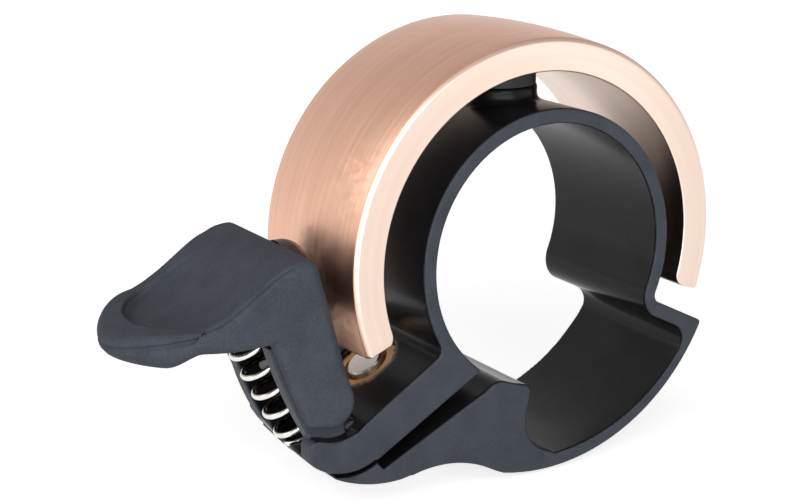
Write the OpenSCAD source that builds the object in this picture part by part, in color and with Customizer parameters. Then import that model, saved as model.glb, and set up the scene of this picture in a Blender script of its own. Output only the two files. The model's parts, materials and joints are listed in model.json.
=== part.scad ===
// Bicycle bell: a split copper ring on a hinge-less moulded handlebar clamp,
// rung by a sprung thumb lever. Millimetres.
// Frame: origin on the handlebar axis at mid width, Y along the bar, Z up,
// the lever on the -X side.

/* [Handlebar band] */
// diameter of the handlebar that the band grips
bar_d = 22.2; // [21.6:0.1:22.8]
// wall of the band round the bar
band_t = 1.25; // [1.1:0.05:1.5]
// width of the bracket along the bar
bracket_w = 15; // [14.5:0.1:15.2]
// angle below the horizontal where the band folds out to the cable strap
fold_deg = 27.3; // [26:0.1:29]
// thickness of the fold's radial ledge
fold_t = 1.35; // [1.2:0.05:1.6]
// outside bend where the bore turns into the ledge
fold_bend = 2.3; // [2:0.05:2.6]
// fillet between the ledge and the strap
fold_fillet = 1.8; // [1.4:0.05:2.2]
// fillet in the notch between band and ledge
notch_fillet = 0.7; // [0.5:0.05:0.9]

/* [Cable strap] */
// radial room for cables between bar and strap
cable_gap = 6.55; // [6:0.05:7]
// strap thickness at its thin end
strap_t = 0.85; // [0.75:0.05:1.1]
// extra strap thickness at the bottom of the bracket
strap_swell = 0.4; // [0.2:0.05:0.6]
// distance of the nose's cable side from the bar's centre line
nose_x = 2.3; // [2:0.1:2.8]

/* [Clamp flanges] */
// slope of the two clamp flanges
flange_tilt = 32; // [31:0.25:33]
// fillet between the band and the upper flange's face
flange_fillet = 0.8; // [0.6:0.05:1]
// thickness of the upper flange
flange_t = 3.7; // [3.5:0.05:3.9]
// clamp slot where it leaves the bar
slot_mouth = 1.95; // [1.6:0.05:2.2]
// clamp slot at its closed end
slot_end = 1; // [0.8:0.05:1.2]
// seam between the flange tip and the lip that hooks round it
seam_gap = 0.3; // [0.25:0.05:0.4]
// radius of the flange tip inside the lip
tip_r = 5; // [4.9:0.05:5.1]
// centre of the tip's rounding, in from the pivot
tip_in = 0.3; // [0.2:0.05:0.4]
// centre of the tip's rounding, over the flange's face
tip_up = 1.75; // [1.65:0.05:1.85]
// how far the flange's end stands out past the pivot
tip_out = 4.7; // [4.5:0.05:4.8]
// height of the heel that stands up under the near cheek
heel_up = 2; // [1.8:0.05:2.1]
// start of the heel, out from the pivot
heel_run = 3.2; // [3:0.05:3.4]
// depth of the step cut in the flange's face between the ears
heel_step = 0.2; // [0.1:0.05:0.3]
// radius of the outside of the lip
lip_r = 11.4; // [11.3:0.05:11.6]
// centre of the lip's outside, in from the pivot
lip_in = 6.3; // [6.2:0.05:6.35]
// centre of the lip's outside, over the flange's face
lip_up = 3.6; // [3.5:0.05:3.7]
// how far the bracket's end is raked back at the far side
end_rake = 1.8; // [1.4:0.1:2.2]
// radius of the hollow under the bolt head
scallop_r = 10.3; // [9.5:0.1:11]
// top of that hollow below the bar's underside
scallop_down = 5.2; // [5:0.05:5.5]

/* [Clamp bolt] */
// bolt axis out from the bar's surface
bolt_out = 5.2; // [5:0.05:5.4]
// shank of the clamp bolt
bolt_d = 3.2; // [3:0.05:3.3]
// diameter of the bolt's low head
bolt_head_d = 5.4; // [5:0.1:5.6]
// height of the bolt's low head
bolt_head_h = 1.7; // [1.5:0.05:1.9]
// hexagon socket across flats
bolt_key = 2; // [1.5:0.1:2.3]
// washer outside diameter
washer_d = 6; // [5.8:0.1:6.2]
// washer thickness
washer_t = 0.5; // [0.4:0.05:0.6]
// plastic left under the washer
washer_floor = 1.6; // [1.4:0.05:1.8]
// outside diameter of the knurled brass insert
insert_d = 5.8; // [5.6:0.1:5.9]
// number of knurl grooves round the insert
insert_grooves = 20; // [14:1:24]
// width of one knurl groove
knurl_w = 0.35; // [0.25:0.05:0.45]
// depth of the insert's face below the flange's face
insert_sink = 0.35; // [0.25:0.05:0.45]
// height of the insert's foot over the slot
insert_foot = 0.5; // [0.4:0.05:0.6]
// widening of the insert's countersink at its face
mouth_out = 0.4; // [0.3:0.05:0.5]
// depth of that countersink
mouth_deep = 0.5; // [0.4:0.05:0.6]
// depth of the bolt's end below the flange's face
bolt_sink = 0.05; // [0.05:0.05:0.2]
// chamfer on the bolt's end
bolt_tip = 0.15; // [0.1:0.05:0.25]

/* [Bell ring] */
// gap between the band and the ring
ring_gap = 2.85; // [2.75:0.05:3]
// wall of the ring at its crown
ring_wall = 3.2; // [3.1:0.02:3.3]
// rise of the crowned outside over its near edge
ring_crown = 0.45; // [0.35:0.05:0.6]
// how far the crown's highest line sits behind the ring's middle
crown_shift = 1.4; // [0.5:0.1:2]
// width of the ring along the bar
ring_w = 14.8; // [14:0.1:15.2]
// how far the ring's middle sits behind the bracket's middle
ring_shift = 1.2; // [0.8:0.1:1.4]
// part of the circle left open below
ring_open = 139.5; // [138:0.5:142]
// turn of the ring's opening away from the lever
ring_turn = 0.75; // [0:0.05:1]
// bevel on the ring's near outer edge
ring_bevel = 0.3; // [0.2:0.05:0.4]
// bevel on the ring's far outer edge
far_bevel = 0.35; // [0.2:0.05:0.45]
// rounding of the ring's inner edges
ring_ease = 0.15; // [0.1:0.05:0.3]
// rounding of the inner corners of the ring's two ends
end_round = 0.9; // [0.6:0.05:1.1]

/* [Ring mount] */
// diameter of the boss and bush that carry the ring
boss_d = 6.2; // [5.6:0.1:6.6]
// height of the moulded boss above the band
boss_h = 1.1; // [1:0.05:1.3]
// shank of the ring screw
ring_screw_d = 2.5; // [2.2:0.1:2.6]
// head of the ring screw
ring_head_d = 4.2; // [3.9:0.1:4.4]
// height of the ring screw's head
ring_head_h = 1.1; // [0.9:0.05:1.2]
// hexagon socket of the ring screw across flats
ring_key = 1.5; // [1.3:0.1:1.7]
// plastic left over the ring screw's head
screw_floor = 1; // [0.9:0.05:1.1]
// how deep the screw goes into the ring
ring_screw_in = 2; // [1.7:0.05:2.2]

/* [Thumb lever] */
// how far each cheek stands out past the bracket's side
cheek_proud = 0.2; // [0.15:0.05:0.4]
// thickness of each cheek
cheek_t = 1.1; // [1:0.05:1.25]
// rounding of the cheeks below the pivot
cheek_r = 2; // [1.9:0.05:2.1]
// centre of that rounding, out from the pivot
cheek_out = 0.45; // [0.4:0.05:0.5]
// centre of that rounding, over the pivot
cheek_up = 0.1; // [0.05:0.05:0.2]
// how far the near ear shows in front of its cheek
ear_show = 0.2; // [0.1:0.05:0.3]
// how far the far cheek's front is set back
far_cheek_back = 1.4; // [1.2:0.05:1.6]
// reach of the paddle from the pivot
paddle_reach = 16.5; // [15.5:0.1:17.5]
// height of the paddle's flat part over the pivot
paddle_up = 7.8; // [7.6:0.05:8]
// rise of the paddle's curve towards the ring
paddle_rise = 4.2; // [4:0.05:4.4]
// droop of the paddle's tip
tip_droop = 1.3; // [1:0.05:1.5]
// thickness of the paddle
paddle_t = 2; // [1.8:0.05:2.2]
// extra thickness of the paddle towards its tip
paddle_belly = 0.65; // [0.4:0.05:0.8]
// start of that belly, out from the pivot
belly_from = 10.8; // [10.5:0.1:11]
// length over which the belly grows
belly_run = 2.6; // [2.2:0.1:3]
// rounding of the paddle's tip below
belly_r = 1.7; // [1.5:0.05:1.9]
// start of the rise, out from the pivot
rise_from = 11.5; // [11:0.1:12]
// end of the rise, out from the pivot
rise_to = 2.3; // [2.3:0.1:2.7]
// radius of the crest over the striker
crest_r = 1; // [0.9:0.05:1.1]
// centre of that crest, out from the pivot
crest_out = 2.2; // [2.1:0.05:2.3]
// start of the paddle's rounded end, out from the pivot
tip_from = 9; // [8.5:0.1:10]
// depth of the thumb dish
dish_depth = 0.5; // [0.3:0.05:0.7]
// half length of the thumb dish
dish_len = 5.2; // [4.6:0.1:5.5]
// centre of the thumb dish, in from the start of the rise
dish_in = 2.6; // [2.4:0.1:2.8]
// half width of the thumb dish
dish_wide = 6.2; // [5.5:0.1:6.5]
// thickness of the wall that faces the ring
back_t = 1.3; // [1.1:0.05:1.4]
// roof of the lever's hollow over the pivot
roof_up = 7.3; // [7.1:0.05:7.6]
// front of that hollow under the roof, out from the pivot
hollow_front = 6.3; // [6.2:0.05:6.4]

/* [Striker] */
// radius of the striker's dome
striker_r = 2.1; // [1.9:0.05:2.2]
// height of the striker over the pivot
striker_up = 9.85; // [9.6:0.05:10]
// gap from the striker to the ring at rest
strike_gap = 0.7; // [0.65:0.05:0.9]
// diameter of the striker's stem
striker_stem = 2; // [1.6:0.1:2.4]
// length of the striker's stem
stem_len = 2; // [1.6:0.1:2.2]
// depth of the striker's seat in the lever's wall
seat_depth = 0.45; // [0.4:0.05:0.55]

/* [Pivot] */
// pivot out from the ring's crown, along the flange
pivot_out = 3.7; // [3.6:0.05:3.9]
// pivot over the flange's top
pivot_up = 3.15; // [3.05:0.05:3.3]
// diameter of the two pivot pins
pin_d = 1.4; // [1.2:0.05:1.5]
// plastic left outside each pin
pin_cover = 0.4; // [0.35:0.05:0.5]
// how far each pin stops short of its ear's inner face
pin_short = 0.15; // [0.1:0.05:0.3]
// thickness of each ear of the spring tower
ear_t = 1.6; // [1.4:0.05:1.8]
// height of the ears over the pivot
ear_up = 5.3; // [5:0.05:5.4]
// depth of the ears' roots below the pivot
ear_down = 5.2; // [5:0.05:5.4]
// front edge of the near ear at the pivot's height
ear_lead = 3.4; // [3.3:0.05:3.5]
// forward lean of that edge over its height
ear_lean = 0.445; // [0.42:0.005:0.46]
// bow of that edge
ear_bow = 0.078; // [0.06:0.002:0.09]
// reach of the ears behind the pivot
ear_back = 1.3; // [1.2:0.05:1.4]
// front edge of the far ear at the pivot's height
far_ear_lead = 2.62; // [2.5:0.02:2.8]
// forward lean of that edge below the pivot
far_ear_lean = 0.27; // [0.24:0.01:0.3]
// bow of that edge
far_ear_bow = 0.16; // [0.1:0.01:0.18]
// width of each ear's top
ear_top = 1.1; // [0.9:0.05:1.2]

/* [Lever spring] */
// mean diameter of the coil
coil_d = 4.1; // [3.8:0.1:4.3]
// diameter of the spring wire
wire_d = 0.5; // [0.4:0.05:0.6]
// turns, the two closed ends included
coil_turns = 6.8; // [6.2:0.1:7.2]
// turns that lie closed at each end
coil_shut = 0.8; // [0.7:0.05:0.9]
// turn of the coil's lower end about its axis
coil_start = 188; // [170:2:200]
// spring's foot, from the pivot towards the bar
foot_in = 0.7; // [0.6:0.05:0.8]
// spring's foot below the pivot
foot_down = 4.6; // [4.5:0.05:4.7]
// spring's upper seat below the paddle's flat top
cap_depth = 1.6; // [1.5:0.05:1.7]
// lean of the spring from upright
spring_tilt = 27; // [25.5:0.5:28.5]

/* [Fits] */
// radial clearance of a turning fit
run_fit = 0.05; // [0.03:0.01:0.08]
// radial clearance of a fixed fit
seat_fit = 0.02; // [0.01:0.01:0.03]
// radial clearance of a part dropped in a pocket
drop_fit = 0.1; // [0.08:0.01:0.12]
// radial clearance of a bolt in its hole
hole_fit = 0.2; // [0.15:0.01:0.25]
// side clearance between a cheek and its ear
cheek_gap = 0.2; // [0.15:0.01:0.25]

/* [Hidden] */
$fn = 72;
bar_r = bar_d / 2;
band_r = bar_r + band_t;
strap_in = bar_r + cable_gap;
strap_out = strap_in + strap_t;
ring_in = band_r + ring_gap;
ring_out = ring_in + ring_wall;
ring_half = (360 - ring_open) / 2;
crown_half = ring_w / 2 + crown_shift;
crown_r = (pow(crown_half, 2) + pow(ring_crown, 2)) / (2 * ring_crown);
far_half = ring_w / 2 - crown_shift;
far_drop = crown_r - sqrt(pow(crown_r, 2) - pow(far_half, 2));
fold_in_c = [sqrt(pow(bar_r + fold_bend, 2) - pow(fold_bend - fold_t, 2)), fold_bend - fold_t];
fold_out_c = [sqrt(pow(strap_in - fold_fillet, 2) - pow(fold_t + fold_fillet, 2)), -fold_t - fold_fillet];
flange_c = [-sqrt(pow(band_r + flange_fillet, 2) - pow(flange_fillet, 2)), flange_fillet];
notch_c = [sqrt(pow(band_r + notch_fillet, 2) - pow(notch_fillet, 2)), notch_fillet];
bolt_p = -(bar_r + bolt_out);
pivot_p = -(ring_out + pivot_out);
pivot_x = pivot_p * cos(flange_tilt) - pivot_up * sin(flange_tilt);
pivot_z = pivot_p * sin(flange_tilt) + pivot_up * cos(flange_tilt);
end_p = pivot_p - tip_out;
slot_close_p = pivot_p + seam_gap / 3;
lower_q = -flange_t - slot_mouth;
slot_top_q = -flange_t + seam_gap;
slot_low_q = slot_top_q - slot_end;
lever_w = bracket_w + 2 * cheek_proud;
cheek_in = lever_w / 2 - cheek_t;
ear_out = cheek_in - cheek_gap;
ear_in = ear_out - ear_t;
pin_end = lever_w / 2 - pin_cover - 2 * run_fit;
pin_len = pin_end - ear_in - pin_short;
swing_r = pivot_up - run_fit;
coil_out = (coil_d + wire_d) / 2;
bolt_low_q = lower_q + (slot_low_q - lower_q) * (bolt_p + bar_r) / (slot_close_p + bar_r);
washer_q = bolt_low_q - washer_floor;
head_q = washer_q - washer_t;
insert_h = flange_t - insert_sink - insert_foot;
boss_top = band_r + boss_h;
ring_head_z = boss_top - screw_floor - ring_head_h;
crest_c = [-crest_out, paddle_up + paddle_rise - crest_r];
cheek_c = [-cheek_out, cheek_up];
wall_lean = atan2(cheek_c[0] - crest_c[0], crest_c[1] - cheek_c[1])
    + asin((cheek_r - crest_r) / norm(crest_c - cheek_c));
back_top = crest_c + crest_r * [cos(wall_lean), sin(wall_lean)];
back_low = cheek_c + cheek_r * [cos(wall_lean), sin(wall_lean)];
under_z = paddle_up - paddle_t;
striker_x = -(ring_out + strike_gap) - striker_r;
seat_x = pivot_x + back_x(striker_up) - seat_depth;
dome_z = striker_x - seat_x - seat_fit;
spring_len = (paddle_up - cap_depth + foot_down) / cos(spring_tilt);
reach = 4 * bar_d;

// points on an arc
function arc(c, r, a0, a1, n) =
    [for (i = [0:n]) c + r * [cos(a0 + (a1 - a0) * i / n), sin(a0 + (a1 - a0) * i / n)]];

// smooth step from 0 to 1
function ease(t) = t <= 0 ? 0 : t >= 1 ? 1 : t * t * (3 - 2 * t);

// height of the paddle's top over the pivot, at x out from the pivot
function paddle_top(x) =
    paddle_up + paddle_rise * ease((x + rise_from) / (rise_from - rise_to))
    - tip_droop * pow(max(0, -rise_from - x) / (paddle_reach - rise_from), 2);

// height of the paddle's underside over the pivot, at x out from the pivot
function paddle_low(x) = paddle_up - paddle_t - paddle_belly * ease((-x - belly_from) / belly_run);

// outside of the lever's ring-side wall at height z over the pivot
function back_x(z) =
    back_low[0] + (back_top[0] - back_low[0]) * (z - back_low[1]) / (back_top[1] - back_low[1]);

// front edge of the near ear at height z over the pivot
function ear_front(z) = -ear_lead - ear_lean * z + ear_bow * z * z / ear_up;

// front edge of the far ear at height z over the pivot
function far_ear_front(z) =
    -far_ear_lead - (z > 0 ? ear_lean : far_ear_lean) * z + (z > 0 ? ear_bow : far_ear_bow) * z * z / ear_up;

// an outline drawn in X and Z, given a thickness from y0 to y1
module slab(y0, y1) {
    translate([0, y1, 0])
        rotate([90, 0, 0])
            linear_extrude(height = y1 - y0)
                children();
}

// children in the frame of the clamp flanges
module on_flange() {
    rotate([0, -flange_tilt, 0])
        children();
}

// children at the lever's pivot
module at_pivot() {
    translate([pivot_x, 0, pivot_z])
        children();
}

// children on the spring's axis, from its foot
module on_spring() {
    at_pivot()
        translate([foot_in, 0, -foot_down])
            rotate([0, -spring_tilt, 0])
                children();
}

// wedge of the plane between two angles
module sector(a0, a1) {
    polygon(concat([[0, 0]], arc([0, 0], reach, a0, a1, 4)));
}

// the band and its turned-out ledge, with the bend's three fillets
module band_outline() {
    difference() {
        union() {
            difference() {
                circle(r = band_r);
                sector(180 + flange_tilt + 14, 360 - fold_deg - 6);
            }
            rotate(-fold_deg) {
                translate([band_r - band_t / 2, -fold_t])
                    square([strap_out - band_r + band_t / 2 - 0.2, fold_t]);
                difference() {
                    translate([notch_c[0] - notch_fillet * 1.6, -0.1])
                        square([notch_fillet * 1.6, notch_fillet + 0.05]);
                    translate(notch_c)
                        circle(r = notch_fillet);
                }
                difference() {
                    polygon([[fold_out_c[0], -fold_t + 0.1], [strap_in + 0.3, -fold_t + 0.1],
                             fold_out_c * (strap_in + 0.3) / (strap_in - fold_fillet), fold_out_c]);
                    translate(fold_out_c)
                        circle(r = fold_fillet);
                }
            }
        }
        rotate(-fold_deg)
            difference() {
                polygon([fold_in_c, fold_in_c * 0.7, [bar_r * 0.6, -fold_t * 4],
                         [fold_in_c[0], -fold_t * 4]]);
                translate(fold_in_c)
                    circle(r = fold_bend);
            }
    }
}

// thin strap round the cables, thicker at the bottom
module strap_outline() {
    intersection() {
        difference() {
            translate([-strap_swell / 2, -strap_swell])
                circle(r = strap_out);
            circle(r = strap_in);
        }
        sector(-fold_deg - 0.4, -100);
    }
}

// rounded tip of the upper flange, grown by a gap
module tip_circle(gap) {
    translate([pivot_p + tip_in, tip_up])
        circle(r = tip_r + gap);
}

// upper flange with its rounded tip and the heel below the cheeks
module upper_outline() {
    rotate(flange_tilt)
        difference() {
            intersection() {
                polygon([[-bar_r * 0.9, 0], [pivot_p, 0], [pivot_p - heel_run, heel_up],
                         [end_p + heel_up * 0.45, heel_up * 0.95], [end_p, heel_up / 4],
                         [end_p, -tip_r * 1.2], [slot_close_p, slot_top_q],
                         [-bar_r * 0.9, -flange_t - seam_gap / 2]]);
                union() {
                    tip_circle(0);
                    translate([pivot_p, -tip_r * 2])
                        square([bar_r * 2, tip_r * 3]);
                }
            }
            translate([pivot_p, pivot_up])
                circle(r = swing_r);
        }
}

// fillet between the band and the upper flange
module flange_corner() {
    rotate(flange_tilt)
        difference() {
            translate([flange_c[0], -band_t / 4])
                square([flange_fillet * 1.6, flange_fillet * 0.92 + band_t / 4]);
            translate(flange_c)
                circle(r = flange_fillet);
        }
}

// side of the lower flange that faces the slot and the seam
module lower_side() {
    rotate(flange_tilt)
        polygon([[bar_r, lower_q], [-bar_r, lower_q], [slot_close_p, slot_low_q],
                 [slot_close_p - seam_gap, -tip_r * 0.3], [end_p - lip_r, -tip_r * 0.3],
                 [end_p - lip_r, -reach], [bar_r, -reach]]);
}

// side of the lower flange that faces the cables, with its nose on the bar
module nose_side() {
    polygon([[-reach, 0], [-nose_x * 1.17, 0], [-nose_x * 0.87, -bar_r - cable_gap * 0.14],
             [-nose_x, -bar_r - cable_gap * 0.275], [-nose_x * 1.04, -bar_r - cable_gap * 0.49],
             [-nose_x * 0.87, -bar_r - cable_gap * 0.73], [nose_x * 0.13, -strap_in + strap_t / 8],
             [nose_x * 0.13, -reach], [-reach, -reach]]);
}

// lower flange with the lip round the upper flange's tip
module lower_outline() {
    lip_p = pivot_p + lip_in / 4;
    difference() {
        intersection() {
            union() {
                translate([-strap_swell / 2, -strap_swell])
                    circle(r = strap_out);
                rotate(flange_tilt) {
                    translate([pivot_p + lip_in, lip_up])
                        circle(r = lip_r);
                    translate([lip_p, -lip_r * 0.92])
                        square([bolt_p - lip_p + bolt_d / 3, lip_r]);
                }
            }
            lower_side();
            nose_side();
        }
        rotate(flange_tilt)
            tip_circle(seam_gap);
        translate([-bar_r, -bar_r - scallop_down - scallop_r])
            circle(r = scallop_r);
    }
}

// whole bracket seen along the bar
module bracket_outline() {
    difference() {
        union() {
            band_outline();
            strap_outline();
            upper_outline();
            flange_corner();
            lower_outline();
        }
        circle(r = bar_r);
    }
}

// one ear of the spring tower, the far one with its own front edge
module ear_outline(far) {
    steps = 12;
    heights = [for (i = [0:steps]) ear_up - (ear_up + ear_down) * i / steps];
    front = [for (z = heights) [far ? far_ear_front(z) : ear_front(z), z]];
    translate([pivot_x, pivot_z])
        polygon(concat(front,
            [[ear_back, -ear_down * 0.78], [ear_back * 0.92, -ear_down * 0.39],
             [ear_back * 0.46, ear_up * 0.23], [front[0][0] + ear_top, ear_up]]));
}

// raked end of the flanges, as the part to cut away
module raked_end() {
    on_flange()
        linear_extrude(height = reach, center = true)
            polygon([[end_p - end_rake / 2, -bracket_w], [end_p + end_rake * 1.5, bracket_w],
                     [end_p - lip_r, bracket_w], [end_p - lip_r, -bracket_w]]);
}

// one-piece moulded clamp with boss, ears and spring seat
module clamp_bracket() {
    color([0.2, 0.22, 0.25])
        difference() {
            union() {
                difference() {
                    slab(-bracket_w / 2, bracket_w / 2)
                        bracket_outline();
                    on_flange()
                        translate([end_p - lip_r, -ear_in - ear_t / 2, -heel_step])
                            cube([pivot_p - end_p + lip_r + ear_t / 2, ear_in + bracket_w, lip_r]);
                    raked_end();
                }
                slab(-ear_out, -ear_in)
                    ear_outline(false);
                slab(ear_in, ear_out)
                    ear_outline(true);
                translate([0, 0, bar_r + band_t / 2])
                    cylinder(d = boss_d, h = boss_top - bar_r - band_t / 2);
            }
            cylinder(r = ring_screw_d / 2 + drop_fit, h = reach);
            cylinder(r = ring_head_d / 2 + drop_fit, h = ring_head_z + ring_head_h);
            on_flange()
                translate([bolt_p, 0, -flange_t - insert_foot])
                    cylinder(r = insert_d / 2 + seat_fit, h = 2 * flange_t);
            on_flange()
                translate([bolt_p, 0, -reach])
                    cylinder(r = bolt_d / 2 + hole_fit, h = reach);
            on_flange()
                translate([bolt_p, 0, washer_q - bar_r])
                    cylinder(r = washer_d / 2 + drop_fit, h = bar_r);
            on_spring()
                cylinder(r = coil_out + hole_fit, h = spring_len);
            at_pivot()
                rotate([90, 0, 0])
                    cylinder(r = pin_d / 2 + seat_fit, h = reach, center = true);
        }
}

// half section of the split ring
module ring_section() {
    difference() {
        intersection() {
            translate([ring_out - crown_r, -crown_shift])
                circle(r = crown_r, $fn = 180);
            translate([ring_in, -ring_w / 2])
                square([ring_wall * 2, ring_w]);
        }
        translate([ring_out - ring_crown, ring_w / 2])
            rotate(45)
                square(ring_bevel * sqrt(2), center = true);
        translate([ring_out - far_drop, -ring_w / 2])
            rotate(45)
                square(far_bevel * sqrt(2), center = true);
        for (s = [-1, 1])
            translate([ring_in, s * ring_w / 2])
                rotate(45)
                    square(ring_ease * sqrt(2), center = true);
    }
}

// what is cut away to round the inner corner of the ring's end, the end lying along X
module end_corner() {
    c = [sqrt(pow(ring_in + end_round, 2) - pow(end_round, 2)), end_round];
    inward = c * (ring_in - end_round) / (ring_in + end_round);
    difference() {
        polygon([c, [c[0], -end_round], [ring_in - end_round, -end_round], inward]);
        translate(c)
            circle(r = end_round);
    }
}

// the split copper ring that sounds
module bell_ring() {
    color([0.85, 0.58, 0.46])
        difference() {
            translate([0, ring_shift, 0])
                rotate([90, 0, 0])
                    rotate([0, 0, 90 - ring_half + ring_turn])
                        rotate_extrude(angle = 2 * ring_half)
                            ring_section();
            cylinder(r = ring_screw_d / 2 + seat_fit, h = ring_in + ring_screw_in + drop_fit);
            for (s = [0, 1])
                mirror([s, 0, 0])
                    slab(-ring_w, ring_w)
                        rotate(90 - ring_half + (1 - 2 * s) * ring_turn)
                            end_corner();
        }
}

// rubber bush between the boss and the ring
module ring_bush() {
    color([0.08, 0.08, 0.09])
        intersection() {
            translate([0, 0, boss_top + seat_fit])
                difference() {
                    cylinder(r = boss_d / 2 - drop_fit, h = bar_r);
                    cylinder(r = ring_screw_d / 2 + drop_fit, h = reach, center = true);
                }
            rotate([90, 0, 0])
                cylinder(r = ring_in - seat_fit, h = reach, center = true);
        }
}

// screw from inside the bore into the ring
module ring_screw() {
    color([0.6, 0.6, 0.62])
        difference() {
            union() {
                translate([0, 0, ring_head_z - seat_fit])
                    cylinder(d = ring_head_d, h = ring_head_h);
                translate([0, 0, ring_head_z])
                    cylinder(d = ring_screw_d, h = ring_in + ring_screw_in - ring_head_z);
            }
            cylinder(d = ring_key / cos(30), h = ring_head_z + ring_head_h * 0.6, $fn = 6);
        }
}

// knurled brass nut pressed into the upper flange
module threaded_insert() {
    color([0.78, 0.62, 0.3])
        on_flange()
            translate([bolt_p, 0, -flange_t + insert_foot])
                difference() {
                    cylinder(d = insert_d, h = insert_h);
                    cylinder(r = bolt_d / 2 + run_fit, h = reach, center = true);
                    translate([0, 0, insert_h - mouth_deep])
                        cylinder(r1 = bolt_d / 2 + run_fit, r2 = bolt_d / 2 + run_fit + 2 * mouth_out,
                                 h = 2 * mouth_deep);
                    for (i = [0:insert_grooves - 1])
                        rotate([0, 0, i * 360 / insert_grooves])
                            translate([insert_d / 2, 0, insert_h / 2])
                                rotate([0, 0, 45])
                                    cube([knurl_w, knurl_w, insert_h * 2], center = true);
                }
}

// low-head clamp bolt from below
module clamp_bolt() {
    shank_q = head_q - bolt_head_h / 3;
    color([0.72, 0.73, 0.75])
        on_flange()
            translate([bolt_p, 0, 0])
                difference() {
                    union() {
                        translate([0, 0, shank_q])
                            cylinder(d = bolt_d, h = -shank_q - bolt_sink - bolt_tip);
                        translate([0, 0, -bolt_sink - bolt_tip])
                            cylinder(d1 = bolt_d, d2 = bolt_d - 2 * bolt_tip, h = bolt_tip);
                        translate([0, 0, head_q - bolt_head_h - seat_fit])
                            cylinder(d = bolt_head_d, h = bolt_head_h);
                    }
                    translate([0, 0, head_q - bolt_head_h * 1.4])
                        cylinder(d = bolt_key / cos(30), h = bolt_head_h, $fn = 6);
                }
}

// washer under the bolt's head
module bolt_washer() {
    color([0.66, 0.67, 0.69])
        on_flange()
            translate([bolt_p, 0, head_q])
                difference() {
                    cylinder(d = washer_d, h = washer_t - seat_fit);
                    cylinder(r = bolt_d / 2 + hole_fit, h = 3 * washer_t, center = true);
                }
}

// steel stub pin, pressed in an ear and turning in a cheek
module pivot_pin(side) {
    color([0.62, 0.63, 0.66])
        at_pivot()
            translate([0, side * (pin_end - pin_len / 2), 0])
                rotate([90, 0, 0])
                    cylinder(d = pin_d, h = pin_len, center = true);
}

module pivot_pin_near() {
    pivot_pin(-1);
}

module pivot_pin_far() {
    pivot_pin(1);
}

// lever seen along the bar, at the pivot
module lever_outline() {
    tip_top = paddle_top(-paddle_reach);
    low = paddle_low(-paddle_reach) + belly_r;
    rim_a = 180 + asin((low - tip_top + drop_fit) / belly_r);
    flat = paddle_reach - rise_from;
    seam_z = [-cheek_r * 0.72, ear_up * 0.69];
    polygon(concat(
        arc([-paddle_reach + belly_r, low], belly_r, 270, rim_a, 7),
        [for (i = [1:7]) let (x = -paddle_reach + flat * i / 8) [x, paddle_top(x)]],
        [for (i = [0:10]) let (x = -rise_from + (rise_from - rise_to) * i / 10) [x, paddle_top(x)]],
        arc(crest_c, crest_r, 90, wall_lean, 4),
        arc(cheek_c, cheek_r, wall_lean, -90, 8),
        [for (z = seam_z) [ear_front(z) + ear_show, z]],
        [[ear_front(under_z), under_z + ear_show / 2], [-rise_from + crest_r, under_z]],
        [for (i = [9:-1:4]) let (x = -paddle_reach + flat * i / 8) [x, paddle_low(x)]]));
}

// hollow between the cheeks
module lever_hollow() {
    front_x = -hollow_front;
    back_z = roof_up * 0.7;
    polygon([[front_x, roof_up], [back_x(roof_up) - back_t, roof_up], [back_x(back_z) - back_t, back_z],
             [paddle_up, back_z], [paddle_up, -paddle_up], [-paddle_reach * 0.85, -paddle_up],
             [-paddle_reach * 0.85, paddle_up * 0.13], [front_x - paddle_t * 0.45, under_z - paddle_t * 0.3],
             [front_x, under_z]]);
}

// lever seen from above, with its rounded end
module lever_plan() {
    half = lever_w / 2 + run_fit / 50;
    polygon(concat([[paddle_reach, -lever_w], [paddle_reach, lever_w], [-tip_from, lever_w]],
        [for (a = [90:10:270]) [-tip_from + (paddle_reach - tip_from) * cos(a),
            half * sign(sin(a)) * pow(abs(sin(a)), 1.2)]],
        [[-tip_from, -lever_w]]));
}

// thumb dish, as the part to cut away
module thumb_dish() {
    steps = 14;
    intersection() {
        slab(-lever_w, lever_w)
            polygon(concat([for (i = [0:steps]) let (x = -paddle_reach * (1 - i / steps))
                            [x, paddle_top(x) - dish_depth]], [[0, reach], [-paddle_reach, reach]]));
        translate([dish_in - rise_from, 0, 0])
            linear_extrude(height = reach)
                polygon([for (a = [0:10:350]) [dish_len * cos(a), dish_wide * sin(a)]]);
    }
}

// front of the far cheek, as the part to cut away
module far_front() {
    steps = [under_z, ear_up * 0.68, -cheek_r * 0.8, -cheek_r * 2];
    slab(cheek_in - drop_fit, lever_w)
        polygon(concat([[-paddle_reach, under_z]], [for (z = steps) [ear_front(z) + far_cheek_back, z]],
            [[-paddle_reach, -cheek_r * 2]]));
}

// thumb lever: paddle, two cheeks and the wall with the striker
module thumb_lever() {
    color([0.23, 0.25, 0.28])
        difference() {
            intersection() {
                union() {
                    at_pivot()
                        difference() {
                            slab(-lever_w / 2, lever_w / 2)
                                lever_outline();
                            slab(-cheek_in, cheek_in)
                                lever_hollow();
                        }
                    on_spring()
                        translate([0, 0, spring_len])
                            cylinder(r = coil_out + hole_fit, h = cap_depth * 1.6);
                }
                translate([pivot_x, 0, 0])
                    linear_extrude(height = reach, center = true)
                        lever_plan();
            }
            at_pivot()
                thumb_dish();
            at_pivot()
                far_front();
            at_pivot()
                rotate([90, 0, 0])
                    cylinder(r = pin_d / 2 + run_fit, h = lever_w - 2 * pin_cover, center = true);
            translate([seat_x, 0, pivot_z + striker_up])
                rotate([0, 90, 0])
                    cylinder(r = striker_r + seat_fit, h = bar_r);
            translate([seat_x - stem_len - drop_fit, 0, pivot_z + striker_up])
                rotate([0, 90, 0])
                    cylinder(r = striker_stem / 2 + seat_fit, h = bar_r);
        }
}

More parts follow.
